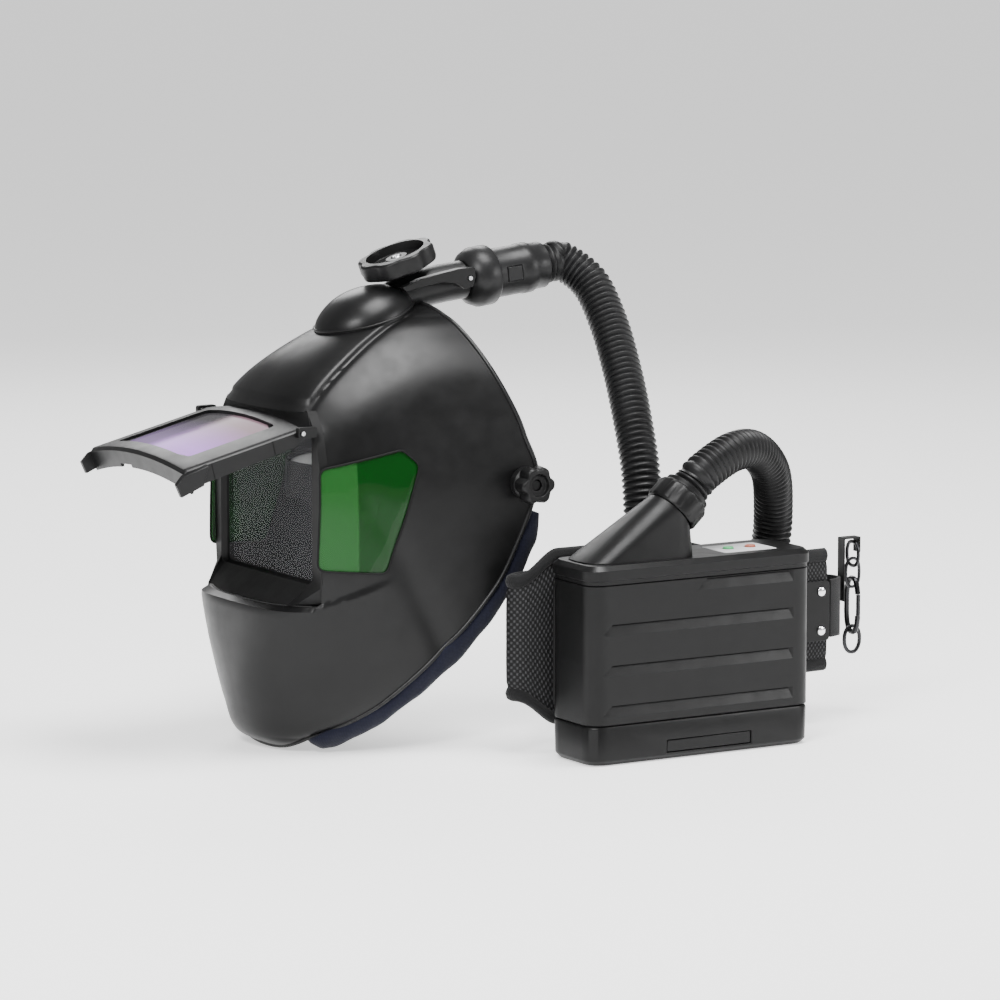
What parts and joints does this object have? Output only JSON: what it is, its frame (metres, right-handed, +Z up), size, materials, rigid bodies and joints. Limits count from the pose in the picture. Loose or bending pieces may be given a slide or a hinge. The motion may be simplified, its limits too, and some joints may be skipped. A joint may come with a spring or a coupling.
{
  "type": "powered air respirator",
  "caption": "Flip-front welding helmet with green side windows, fed with air at the crown by a ribbed hose from a belt-worn battery blower.",
  "frame": {"origin": "on the ground plane under the middle of the set (helmet, blower and belt)", "axes": "+X from the helmet's face towards its back, -Y towards the blower's front, +Z up"},
  "size_m": [0.6323, 0.3795, 0.4197],
  "materials": {
    "black_plastic": "satin black moulding",
    "connector_plastic": "satin charcoal moulding",
    "hose_rubber": "ribbed dark grey",
    "window_green": "clear green",
    "lens_violet": "clear, violet coated",
    "visor_clear": "clear",
    "filter_black": "dark",
    "steel": "plain",
    "rivet_steel": "polished",
    "hook_metal": "black",
    "navy_fabric": "navy",
    "grey_fabric": "light grey",
    "mesh_fabric": "black mesh",
    "webbing": "black woven",
    "leather": "black",
    "panel_grey": "pale grey",
    "button_green": "green",
    "button_red": "red-brown",
    "board": "green",
    "filter_paper": "pleated white",
    "grey_plastic": "grey"
  },
  "bodies": {
    "respirator": {"helmet_shell": "black_plastic", "crown_cowl": "black_plastic", "inlet_elbow": "black_plastic", "inner_air_duct": "black_plastic", "lever_pin": "steel", "lid_hinge_pin": "steel", "hinge_bracket_left": "black_plastic", "hinge_bracket_right": "black_plastic", "grinding_visor": "visor_clear", "visor_frame": "black_plastic", "side_window_left": "window_green", "side_window_right": "window_green", "face_seal": "navy_fabric", "air_hose": "hose_rubber", "blower_housing": "black_plastic", "blower_top_cover": "black_plastic", "control_panel": "panel_grey", "fan_motor": "steel", "fan_scroll": "black_plastic", "particle_filter": "filter_paper", "circuit_board": "board", "back_cover": "black_plastic", "belt_pad": "mesh_fabric", "belt_webbing_left": "webbing", "belt_webbing_right": "webbing", "buckle_plug": "black_plastic", "buckle_socket": "black_plastic", "belt_patch": "leather", "rivet_1": "rivet_steel", "rivet_2": "rivet_steel", "rivet_3": "rivet_steel", "rivet_4": "rivet_steel", "ring_tab": "leather", "d_ring": "hook_metal"},
    "lid": {"flip_lid": "black_plastic", "lid_cover_lens": "lens_violet", "darkening_filter": "filter_black"},
    "regulator": {"airflow_knob": "black_plastic", "knob_screw": "steel"},
    "lever": {"latch_lever": "black_plastic"},
    "connector": {"swivel_connector": "connector_plastic"},
    "connector_button": {"release_button": "connector_plastic"},
    "headgear": {"headband": "black_plastic", "sweatband": "grey_fabric", "crown_strap": "black_plastic", "pivot_bolt_left": "black_plastic", "pivot_bolt_right": "black_plastic"},
    "ratchet": {"ratchet_knob": "black_plastic"},
    "knob_left": {"pivot_knob_left": "black_plastic"},
    "knob_right": {"pivot_knob_right": "black_plastic"},
    "hose_nut": {"coupling_nut": "black_plastic"},
    "fan": {"impeller": "grey_plastic"},
    "speed": {"speed_button": "button_green"},
    "power": {"power_button": "button_red"},
    "battery": {"battery_pack": "black_plastic"},
    "battery_release": {"battery_latch": "black_plastic"},
    "link": {"hook_link": "hook_metal"},
    "hook": {"snap_hook": "hook_metal", "swivel_ring": "hook_metal"},
    "gate": {"hook_gate": "hook_metal"}
  },
  "joints": [
    {"name": "lid_flip", "type": "hinge", "parent": "respirator", "child": "lid", "pos_m": [-0.2089, 0.0448, 0.2735], "axis": [0, 1, 0], "range_deg": [-74, 12]},
    {"name": "airflow_turn", "type": "hinge", "parent": "respirator", "child": "regulator", "pos_m": [-0.0659, 0.0448, 0.3975], "axis": [-0.342, 0, 0.9397], "range_deg": [0, 270]},
    {"name": "lever_lift", "type": "hinge", "parent": "respirator", "child": "lever", "pos_m": [-0.0109, 0.0233, 0.386], "axis": [0, 1, 0], "range_deg": [0, 5]},
    {"name": "hose_swivel", "type": "hinge", "parent": "respirator", "child": "connector", "pos_m": [-0.0039, 0.0448, 0.3827], "axis": [0.9936, 0, 0.1132], "continuous": true},
    {"name": "release_press", "type": "slide", "parent": "connector", "child": "connector_button", "axis": [0, 1, 0], "range_m": [0, 0.001], "stiffness_N_per_m": 400},
    {"name": "headgear_tilt", "type": "hinge", "parent": "respirator", "child": "headgear", "pos_m": [-0.0149, 0.0448, 0.223], "axis": [0, 1, 0], "range_deg": [-50, 3.5]},
    {"name": "ratchet_turn", "type": "hinge", "parent": "headgear", "child": "ratchet", "pos_m": [0.0297, 0.0448, 0.222], "axis": [1, 0, 0], "continuous": true},
    {"name": "pivot_knob_turn_left", "type": "hinge", "parent": "headgear", "child": "knob_left", "pos_m": [-0.0149, -0.0752, 0.223], "axis": [0, -1, 0], "range_deg": [-180, 180]},
    {"name": "pivot_knob_turn_right", "type": "hinge", "parent": "headgear", "child": "knob_right", "pos_m": [-0.0149, 0.1648, 0.223], "axis": [0, 1, 0], "range_deg": [-180, 180]},
    {"name": "coupling_turn", "type": "hinge", "parent": "respirator", "child": "hose_nut", "pos_m": [0.0781, -0.1542, 0.201], "axis": [0.7314, 0, 0.682], "range_deg": [0, 60]},
    {"name": "fan_spin", "type": "hinge", "parent": "respirator", "child": "fan", "pos_m": [0.0411, -0.1472, 0.094], "axis": [0, 1, 0], "continuous": true},
    {"name": "speed_press", "type": "slide", "parent": "respirator", "child": "speed", "axis": [0, 0, -1], "range_m": [0, 0.001], "stiffness_N_per_m": 400},
    {"name": "power_press", "type": "slide", "parent": "respirator", "child": "power", "axis": [0, 0, -1], "range_m": [0, 0.001], "stiffness_N_per_m": 400},
    {"name": "battery_slide", "type": "slide", "parent": "respirator", "child": "battery", "axis": [0, 0, -1], "range_m": [0, 0.025]},
    {"name": "battery_latch_press", "type": "slide", "parent": "battery", "child": "battery_release", "axis": [0, 1, 0], "range_m": [0, 0.001], "stiffness_N_per_m": 400},
    {"name": "link_swing", "type": "hinge", "parent": "respirator", "child": "link", "pos_m": [0.3066, -0.0932, 0.13], "axis": [0, 1, 0], "range_deg": [-12, 4]},
    {"name": "hook_swing", "type": "hinge", "parent": "link", "child": "hook", "pos_m": [0.3066, -0.0932, 0.1115], "axis": [1, 0, 0], "range_deg": [-12, 12]},
    {"name": "gate_open", "type": "hinge", "parent": "hook", "child": "gate", "pos_m": [0.3066, -0.1022, 0.0875], "axis": [1, 0, 0], "range_deg": [-17, 0], "stiffness_Nm_per_rad": 0.05}
  ]
}
